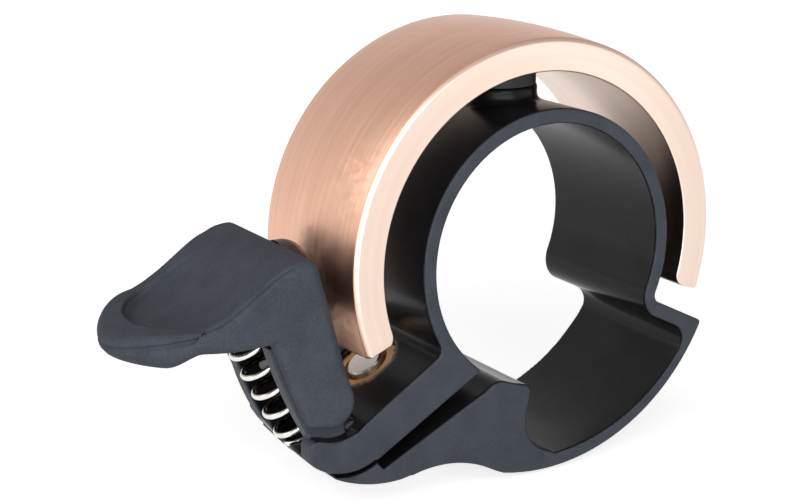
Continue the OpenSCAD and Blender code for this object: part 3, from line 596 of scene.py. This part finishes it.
# one ear beside the spring, between two widths
def ear(x, y, z, low, high, far):
    f = pivotForm
    height = np.linspace(f["earUp"], -f["earDown"], 24)
    front = np.stack((earFront(height, far), height), -1)
    rear = [*f["earRear"], (front[0, 0] + f["earTop"], f["earUp"])]
    side = outline(x - pivot[0], z - pivot[2], np.concatenate((front, rear)))
    return roundMax(side, np.abs(y - (low + high) / 2) - (high - low) / 2, bracketForm["edge"])


# distance from the spring's axis, and the height along it from the foot
def springPlace(x, y, z):
    f = springForm
    across, along = turned(x - pivot[0] - f["footIn"], z - pivot[2] + f["footDown"], f["tilt"])
    return np.hypot(across, y), along


# the side outline carried across the width, its left end raked, with the ears and the boss added and the
# holes for screw, insert, bolt, washer, spring and pins taken away
def bracketField(x, y, z):
    f, m, e = bracketForm, mountForm, bracketForm["edge"]
    p, q = turned(x, z, f["tilt"])
    pivotP = -pivotForm["out"]
    body = roundMax(bracketSide(x, z), np.abs(y) - f["width"] / 2, e)
    _, v = turned(x, z, -f["foldDeg"])
    grow = f["roomTaper"] * ease((x - f["roomFrom"]) / f["roomRun"]) * np.clip(y / f["width"] + 0.5, 0, 1)
    room = roundMax(v + f["foldT"], disc(x, z, 0, 0, f["strapIn"] + grow), f["foldFillet"])
    body = roundMax(body, -np.maximum(room, f["roomFrom"] - x), f["hair"])
    middle = (pivotForm["earIn"] + pivotForm["earOut"]) / 2
    notch = np.maximum(np.maximum(p - pivotP - f["heelIn"], -f["heelStep"] - q), -middle - y)
    body = roundMax(body, -notch, f["holeEdge"])
    slope = f["rake"] / f["width"]
    raked = (pivotP - f["tipOut"] + slope * (y + f["width"] / 2) - p) / math.hypot(1, slope)
    body = roundMax(body, raked, e)
    body = roundMin(body, ear(x, y, z, -pivotForm["earOut"], -pivotForm["earIn"], False), f["earFillet"])
    body = roundMin(body, ear(x, y, z, pivotForm["earIn"], pivotForm["earOut"], True), f["earFillet"])
    bossEnds = np.maximum(z - f["bandR"] - m["bossH"], f["barR"] + m["bossRoot"] - z)
    body = roundMin(body, roundMax(disc(x, y, 0, 0, m["bossR"]), bossEnds, m["bossEdge"]), m["bossFillet"])
    shaft = np.hypot(p + f["barR"] + f["boltOut"], y)
    screw = np.maximum(disc(x, y, 0, 0, m["screwR"]), -z)
    head = np.maximum(disc(x, y, 0, 0, m["headR"]), np.maximum(z - m["headTop"], -z))
    insert = np.maximum(shaft - m["insertR"], -f["flangeT"] - m["insertPast"] - q)
    bolt = np.maximum(shaft - m["boltR"], q)
    washer = np.maximum(shaft - m["washerR"], q + m["washerDown"])
    across, along = springPlace(x, y, z)
    seat = np.maximum(across - (springForm["coilD"] + springForm["wireD"]) / 2 - springForm["room"], -along)
    pin = disc(x, z, pivot[0], pivot[2], pivotForm["pinR"])
    for hole in (screw, head, insert, bolt, washer, seat, pin):
        body = roundMax(body, -hole, f["holeEdge"])
    return body


# thumb lever: side outline and plan, less the dish, the hollow, the pin holes and the striker's seat
leverForm = {"width": 15.4, "reach": 16.5, "up": 7.8, "rise": 4.3, "droop": 1.3, "thick": 2.0,
             "riseFrom": 11.5, "riseTo": 2.3, "tipFrom": 9.0, "tipPower": 1.2, "pastTip": 3.0, "belly": 1.15,
             "bellyFrom": 10.8, "bellyRun": 2.6, "crestR": 1.0, "crestOut": 2.2, "cheekR": 2.0,
             "cheekOut": 0.45, "cheekUp": 0.1, "cheekIn": 6.6, "earShow": 0.2, "seamLow": 1.44,
             "seamHigh": 3.66, "farBack": 1.4, "backT": 1.3, "roof": 7.3, "roofStep": 5.11,
             "hollowFront": 6.3, "hollowLead": 0.9, "hollowDrop": 0.6, "hollowEnd": 14.0,
             "hollowRise": 1.0, "hollowEdge": 0.1, "pinR": 0.75, "pinHalf": 7.3, "strikerUp": 9.85,
             "strikerR": 2.12, "seatDeep": 0.45, "seatEdge": 0.05, "stemR": 1.02, "stemLong": 2.1,
             "planEnd": 20.0}
leverEdge = {"plain": 0.5, "ringSide": 0.95, "ringFrom": -5.5, "ringRun": 3.0, "ringUp": 0.5, "tipTop": 0.6,
             "tipLow": 1.5, "tipFrom": -7.5, "tipRun": 4.0, "lowFrom": 0.5, "lowRun": 0.8}
dishForm = {"in": 2.6, "long": 5.2, "wide": 6.2, "deep": 1.0, "power": 1.6, "soft": 0.3, "lip": 0.12}
creaseForm = {"out": (-16.5, -13.5, -12, -10.5, -7, -3), "aside": (-0.05, -0.05, -0.15, -0.62, -0.5, -0.4),
              "down": (0.8, 0.8, 0.6, 0.12, 0.08, 0.08), "wireR": 0.19, "endAt": -2.6, "fade": 1.5,
              "edge": 0.12}


# height of the paddle's top over the pivot: flat, rising to the crest, drooping at the tip
def paddleTop(x):
    f = leverForm
    return (f["up"] + f["rise"] * ease((x + f["riseFrom"]) / (f["riseFrom"] - f["riseTo"]))
            - f["droop"] * (np.maximum(0, -f["riseFrom"] - x) / (f["reach"] - f["riseFrom"])) ** 2)


# height of the paddle's underside over the pivot: flat, then lower toward the tip
def paddleLow(x):
    f = leverForm
    return f["up"] - f["thick"] - f["belly"] * ease((-x - f["bellyFrom"]) / f["bellyRun"])


# lean of the wall that faces the ring: the line that touches the crest's and the cheek's roundings
def wallLine():
    f = leverForm
    crest = np.array((-f["crestOut"], f["up"] + f["rise"] - f["crestR"]))
    cheek = np.array((-f["cheekOut"], f["cheekUp"]))
    run = crest - cheek
    lean = math.atan2(-run[0], run[1]) + math.asin((f["cheekR"] - f["crestR"]) / math.hypot(*run))
    normal = np.array((math.cos(lean), math.sin(lean)))
    return crest, cheek, math.degrees(lean), crest + f["crestR"] * normal, cheek + f["cheekR"] * normal


# lever seen along the bar: top, crest, ring side, cheek, the seam along the ear, and the underside
def leverOutline():
    f = leverForm
    crest, cheek, lean, _, _ = wallLine()
    under, past = f["up"] - f["thick"], -f["reach"] - f["pastTip"]
    top = np.linspace(-f["reach"], -f["riseTo"], 64)
    bottom = np.linspace(-f["bellyFrom"], -f["reach"], 24)
    seam = np.linspace(-f["seamLow"], f["seamHigh"], 8)
    return np.concatenate((
        [(past, paddleLow(past)), (past, paddleTop(-f["reach"]))], np.stack((top, paddleTop(top)), -1),
        arc(*crest, f["crestR"], 90, lean, 10), arc(*cheek, f["cheekR"], lean, -90, 16),
        np.stack((earFront(seam) + f["earShow"], seam), -1),
        [(earFront(under), under + f["earShow"] / 2), (-f["riseFrom"] + f["crestR"], under)],
        np.stack((bottom, paddleLow(bottom)), -1)))


# lever seen from above: straight sides and a round tip, a half oval drawn a little to a point
def leverPlan():
    f = leverForm
    a = np.radians(np.linspace(90, 270, 60))
    half = f["width"] / 2
    tip = np.stack((-f["tipFrom"] + (f["reach"] - f["tipFrom"]) * np.cos(a),
                    half * np.sign(np.sin(a)) * np.abs(np.sin(a)) ** f["tipPower"]), -1)
    return np.concatenate(([(f["planEnd"], -half), (f["planEnd"], half)], tip))


# place of the wall that faces the ring, by height over the pivot
def wallX(z):
    _, _, _, top, low = wallLine()
    return low[0] + (top[0] - low[0]) * (z - low[1]) / (top[1] - low[1])


# room inside the lever for the spring and the ears, seen along the bar
def leverHollow():
    f = leverForm
    under, deep, roof = f["up"] - f["thick"], f["roofStep"], f["roof"]
    front, end = -f["hollowFront"], -f["hollowEnd"]
    return [(front, roof), (wallX(roof) - f["backT"], roof), (wallX(deep) - f["backT"], deep),
            (f["up"], deep), (f["up"], -f["up"]), (end, -f["up"]), (end, f["hollowRise"]),
            (front - f["hollowLead"], under - f["hollowDrop"]), (front, under)]


sideLine, planLine, hollowLine = leverOutline(), leverPlan(), leverHollow()


# rounding of the lever's edges: wide beside the ring and under the tip, less elsewhere
def edgeRadius(x, z):
    e = leverEdge
    ringShare = ease((x - e["ringFrom"]) / e["ringRun"]) * ease((z - e["ringUp"]) / e["ringRun"])
    tipShare = ease((e["tipFrom"] - x) / e["tipRun"])
    tip = e["tipTop"] + (e["tipLow"] - e["tipTop"]) * ease((paddleTop(x) - e["lowFrom"] - z) / e["lowRun"])
    return e["plain"] + (e["ringSide"] - e["plain"]) * ringShare + (tip - e["plain"]) * tipShare


# thumb dish: an oval cut whose floor lies deepest at the tip and runs out toward the ring
def dishField(x, y, z):
    d = dishForm
    middle = d["in"] - leverForm["riseFrom"]
    oval = (np.hypot((x - middle) / d["long"], y / d["wide"]) - 1) * d["long"]
    share = np.clip((middle + d["long"] - x) / (2 * d["long"]), 0, 1)
    return roundMax(oval, paddleTop(x) - d["deep"] * share ** d["power"] - z, d["soft"])


# crease between the paddle's rim and its side: a thin round groove along the plan's edge
def creaseField(x, z, aside):
    c = creaseForm
    sideways = aside - np.interp(x, c["out"], c["aside"])
    below = paddleTop(x) - z - np.interp(x, c["out"], c["down"])
    return np.hypot(sideways, below) - c["wireR"] * ease((c["endAt"] - x) / c["fade"])


# side outline and plan joined with rounded edges, less the hollow, with the cap that holds the spring, then
# less the dish, the crease, the front of the far cheek, the pin holes and the striker's seat and stem
def leverField(x, y, z):
    f = leverForm
    x, z = x - pivot[0], z - pivot[2]
    plan = outline(x, y, planLine)
    hollow = np.maximum(outline(x, z, hollowLine), np.abs(y) - f["cheekIn"])
    body = roundMax(outline(x, z, sideLine), plan, edgeRadius(x, z))
    body = roundMax(body, -hollow, f["hollowEdge"])
    across, along = springPlace(x + pivot[0], y, z + pivot[2])
    s = springForm
    cap = np.maximum(across - (s["coilD"] + s["wireD"]) / 2 - s["room"],
                     np.abs(along - s["length"] - s["capHalf"]) - s["capHalf"])
    body = np.minimum(body, cap)
    body = roundMax(body, -dishField(x, y, z), dishForm["lip"])
    body = roundMax(body, -creaseField(x, z, plan), creaseForm["edge"])
    height = np.linspace(f["up"] - f["thick"], -2 * f["cheekR"], 10)
    front = np.stack((earFront(height) + f["farBack"], height), -1)
    cut = np.concatenate(([(-f["reach"], height[0])], front, [(-f["reach"], height[-1])]))
    farCut = np.maximum(outline(x, z, cut), f["cheekIn"] - f["hollowEdge"] - y)
    body = roundMax(body, -farCut, f["hollowEdge"])
    body = roundMax(body, -np.maximum(disc(x, z, 0, 0, f["pinR"]), np.abs(y) - f["pinHalf"]), f["seatEdge"])
    seatX = wallX(f["strikerUp"]) - f["seatDeep"]
    axis = np.hypot(y, z - f["strikerUp"])
    body = roundMax(body, -np.maximum(axis - f["strikerR"], seatX - x), f["seatEdge"])
    return np.maximum(body, -np.maximum(axis - f["stemR"], seatX - f["stemLong"] - x))


# bell ring: a section carried round the bar, with its two ends rounded
ringForm = {"inR": 15.2, "outR": 18.4, "width": 14.8, "shift": 1.2, "openDeg": 139.5, "turnDeg": 0.75,
            "crown": 0.45, "crownShift": 1.4, "crownSteps": 15, "crownEase": 0.01, "shoulder": 0.3,
            "shoulderIn": 0.315, "shoulderTop": 0.18, "shoulderLow": 0.16, "farBevel": 0.18, "inner": 0.16,
            "easeR": 0.1, "endIn": 0.9, "endOut": 0.4, "endSide": 0.15, "endSteps": 16, "spineIn": 1.4,
            "around": 360, "perCorner": 5, "brushFrom": 1.9, "brushRun": 0.15, "plainBand": 0.12,
            "plainRun": 0.1}


# a closed outline with each corner rounded by its own radius, as points set evenly on its arcs and sides
def roundedLoop(corners, radii, perCorner):
    corners, radii = np.array(corners, float), np.array(radii)
    before, after = np.roll(corners, 1, axis=0) - corners, np.roll(corners, -1, axis=0) - corners
    before /= np.linalg.norm(before, axis=1)[:, None]
    after /= np.linalg.norm(after, axis=1)[:, None]
    half = np.arccos(np.clip((before * after).sum(1), -1, 1)) / 2
    t = np.linspace(0, 1, perCorner)[None, :, None]
    reach = (radii / np.tan(half))[:, None, None]
    mid = before + after
    mid *= (radii / np.sin(half) / np.linalg.norm(mid, axis=1))[:, None]
    centre = (corners + mid)[:, None]
    start, end = corners[:, None] + before[:, None] * reach, corners[:, None] + after[:, None] * reach
    way = start - centre + (end - start) * t
    way *= radii[:, None, None] / np.linalg.norm(way, axis=2)[:, :, None]
    return (centre + way).reshape(-1, 2)


# radius of the ring's crowned outside by height: an arc whose top lies toward the far side
def crownAt(h):
    f = ringForm
    arcR = ((f["width"] / 2 + f["crownShift"]) ** 2 + f["crown"] ** 2) / (2 * f["crown"])
    return f["outR"] - arcR + np.sqrt(arcR ** 2 - (h + f["crownShift"]) ** 2)


# ring section as radius and height, the near side up: crowned outside, shoulder, near face, inside, far face
def ringSection():
    f = ringForm
    half = f["width"] / 2
    heights = np.linspace(f["farBevel"] - half, half - f["shoulder"], f["crownSteps"])
    outside = np.stack((crownAt(heights), heights), -1)
    rest = [(crownAt(half) - f["shoulderIn"], half), (f["inR"], half), (f["inR"], -half),
            (crownAt(-half) - f["farBevel"], -half)]
    radii = [f["easeR"]] + [f["crownEase"]] * (f["crownSteps"] - 2)
    radii += [f["shoulderTop"], f["shoulderLow"], f["inner"], f["inner"], f["easeR"]]
    return roundedLoop(np.concatenate((outside, rest)), radii, f["perCorner"])


# how far a rounded corner draws a side in, by the distance from the end
def endInset(away, r):
    return r - np.sqrt(r * r - np.maximum(r - away, 0) ** 2)


# the section carried round from end to end, its rows drawn in at the ends and closed on a line inside each
def ringPiece():
    f = ringForm
    section = ringSection()
    count = len(section)
    half = math.radians(360 - f["openDeg"]) / 2
    away = f["endIn"] * (1 - np.cos(np.linspace(0, math.pi / 2, f["endSteps"] + 1)))[:, None]
    across = (section[:, 0] - f["inR"]) / (f["outR"] - f["inR"])
    radius = section[:, 0] + endInset(away, f["endIn"]) * (1 - across) - endInset(away, f["endOut"]) * across
    height = section[:, 1] * (1 - endInset(away, f["endSide"]) / (f["width"] / 2))
    rows, angles = np.stack((radius, height), -1), away / section[None, :, 0]
    middle = (f["inR"] + f["outR"]) / 2
    spineHalf = f["width"] / 2 - f["spineIn"]
    spine = np.stack((np.full(count, middle), np.clip(section[:, 1], -spineHalf, spineHalf)), -1)[None]
    body = np.linspace(0, 1, f["around"])[1:-1]
    start = angles[-1][None] + (2 * half - 2 * angles[-1][None]) * body[:, None]
    plain = np.broadcast_to(section, (len(body), *section.shape))
    allRows = np.concatenate((spine, rows, plain, rows[::-1], spine))
    zero = np.zeros((1, count))
    allAngles = np.concatenate((zero, angles, start, 2 * half - angles[::-1], zero + 2 * half))
    a = math.pi / 2 + half + math.radians(f["turnDeg"]) - allAngles
    radius, height = allRows[..., 0], allRows[..., 1]
    points = np.stack((radius * np.cos(a), f["shift"] - height, radius * np.sin(a)), -1)
    return points.reshape(-1, 3), gridQuads(len(allRows), count, closedCols=True), len(allRows), section


# lever spring: round wire carried along a helix whose end turns lie closed
def springPiece():
    f = springForm
    turns, shut, wireR = f["turns"], f["shut"], f["wireD"] / 2
    t = np.linspace(0, turns, int(turns * f["perTurn"]))
    low, high = f["wireD"] * f["closeStep"] * shut, f["length"] - f["wireD"] - 2 * f["lift"]
    rise = np.interp(t, [0, shut, turns - shut, turns], [0, low, high - low, high]) + wireR + f["lift"]
    a, k = np.radians(f["startDeg"]) + 2 * np.pi * t, np.linspace(0, 2 * np.pi, f["sides"], endpoint=False)
    toEnd = np.clip(np.minimum(t, turns - t) / f["taper"], 0, 1)
    thick = np.sqrt(1 - (1 - toEnd) ** 2)[:, None] * wireR
    r = f["coilD"] / 2 + thick * np.cos(k)
    x, y, h = r * np.cos(a)[:, None], r * np.sin(a)[:, None], rise[:, None] + thick * np.sin(k)
    lean = math.radians(f["tilt"])
    points = np.stack((pivot[0] + f["footIn"] + x * math.cos(lean) - h * math.sin(lean), y,
                       pivot[2] - f["footDown"] + x * math.sin(lean) + h * math.cos(lean)), -1)
    # painted shade mask: 1 on the side of the wire that faces the coil's axis
    inward = np.tile(ease((f["inFrom"] - np.cos(k)) / f["inRun"]), len(t))
    return points.reshape(-1, 3), gridQuads(len(t), f["sides"], closedCols=True), inward


# every piece in place

bracketGrid = {"stepMm": 0.23, "fine": 0.1, "coarse": 0.52, "reach": 0.3, "pad": 0.35}
leverGrid = {"stepMm": 0.13, "pad": 0.3}
# where the bracket is grained and keeps its lit colour: its outer faces, and the fronts of its ears and of
# its left end; elsewhere it is smooth and painted dark as shade
grainLitForm = {"faceLean": 0.5, "faceRun": 0.35, "faceOut": 6.0, "outRun": 0.3, "frontLean": 0.25,
             "frontRun": 0.3, "frontX": -19.0, "xRun": 1.5, "earOut": 4.7, "earRun": 0.2,
             "endX": -26.5, "endRun": 1.0}


# even grid lines across a CAD piece's box along one axis
def boxLines(node, step, pad, axis):
    low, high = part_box(node)
    low, high = low[axis] / mm - pad, high[axis] / mm + pad
    return np.linspace(low, high, int((high - low) / step) + 2)


# a value from 0 to 1 at every point, for a material to read
def setShare(mesh, name, share):
    layer = mesh.attributes.new(name, "FLOAT", "POINT")
    layer.data.foreach_set("value", share.astype(np.float32))


def placeBracket():
    g, half = bracketGrid, bracketForm["width"] / 2
    places = [-half, half] + [s * pivotForm[k] for s in (-1, 1) for k in ("earIn", "earOut")]
    ys = gridLines(-half - g["pad"], half + g["pad"], g["fine"], g["coarse"], places, g["reach"])
    points, quads = levelSurface(bracketField, boxLines("clamp_bracket", g["stepMm"], g["pad"], 0), ys,
                                 boxLines("clamp_bracket", g["stepMm"], g["pad"], 2))
    piece = addPiece("bracketMoulding", points, quads, "clamp_bracket", bracketNylon)
    normal = np.empty(3 * len(points), np.float32)
    piece.data.vertices.foreach_get("normal", normal)
    # the mask splits the grain from the smooth finish, and the lit colour from the painted shade
    x, y, w = points[:, 0], np.abs(points[:, 1]), grainLitForm
    sideways = ease((np.abs(normal[1::3]) - w["faceLean"]) / w["faceRun"])
    onFaces = sideways * ease((y - w["faceOut"]) / w["outRun"])
    earsAndEnd = np.maximum(ease((y - w["earOut"]) / w["earRun"]), ease((w["endX"] - x) / w["endRun"]))
    facing = ease((-w["frontLean"] - normal[0::3]) / w["frontRun"])
    onFronts = facing * ease((w["frontX"] - x) / w["xRun"]) * earsAndEnd
    setShare(piece.data, "grainedLit", np.maximum(onFaces, onFronts))


def placeLever():
    lines = [boxLines("thumb_lever", leverGrid["stepMm"], leverGrid["pad"], a) for a in range(3)]
    points, quads = levelSurface(leverField, *lines)
    addPiece("leverMoulding", points, quads, "thumb_lever", leverNylon, "lever")


def placeRing():
    points, quads, rows, section = ringPiece()
    piece = addPiece("ringCopper", points, quads, "bell_ring", copper)
    mesh, f, count = piece.data, ringForm, len(section)
    # outside the brushed share the ring takes the paler face colour, partly a painted highlight
    outward = ease((section[:, 0] - f["inR"] - f["brushFrom"]) / f["brushRun"])
    behindFace = ease((f["width"] / 2 - f["plainBand"] - section[:, 1]) / f["plainRun"])
    setShare(mesh, "brushed", np.tile(outward * behindFace, rows))
    row, col = np.divmod(quads, count)
    wrap = (col == 0) & (col.max(axis=1, keepdims=True) == count - 1)
    sides = np.linalg.norm(np.diff(section, axis=0, append=section[:1]), axis=1)
    length = np.concatenate(([0], np.cumsum(sides)))
    v = length[np.where(wrap, count, col)] * mm
    u = row / rows * math.radians(360 - f["openDeg"]) * f["outR"] * mm
    layer = mesh.uv_layers.new(name="around")
    layer.data.foreach_set("uv", np.stack((u, v), -1).astype(np.float32).ravel())


def placeSpring():
    points, quads, inward = springPiece()
    piece = addPiece("springCoil", points, quads, "lever_spring", springSteel, None)
    # the wire's inward side, where the material paints shade
    setShare(piece.data, "inward", inward)
    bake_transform(piece)


# a CAD piece that is kept, in its material
def dress(name, material):
    nodes[name].data.materials.clear()
    nodes[name].data.materials.append(material)


placeBracket()
placeLever()
placeRing()
placeSpring()
for n in ("clamp_bolt", "bolt_washer", "ring_screw", "pivot_pin_near", "pivot_pin_far"):
    dress(n, boltSteel)
dress("threaded_insert", brass)
dress("ring_bush", rubber)
dress("striker", strikerPlastic)
print("pieces placed")
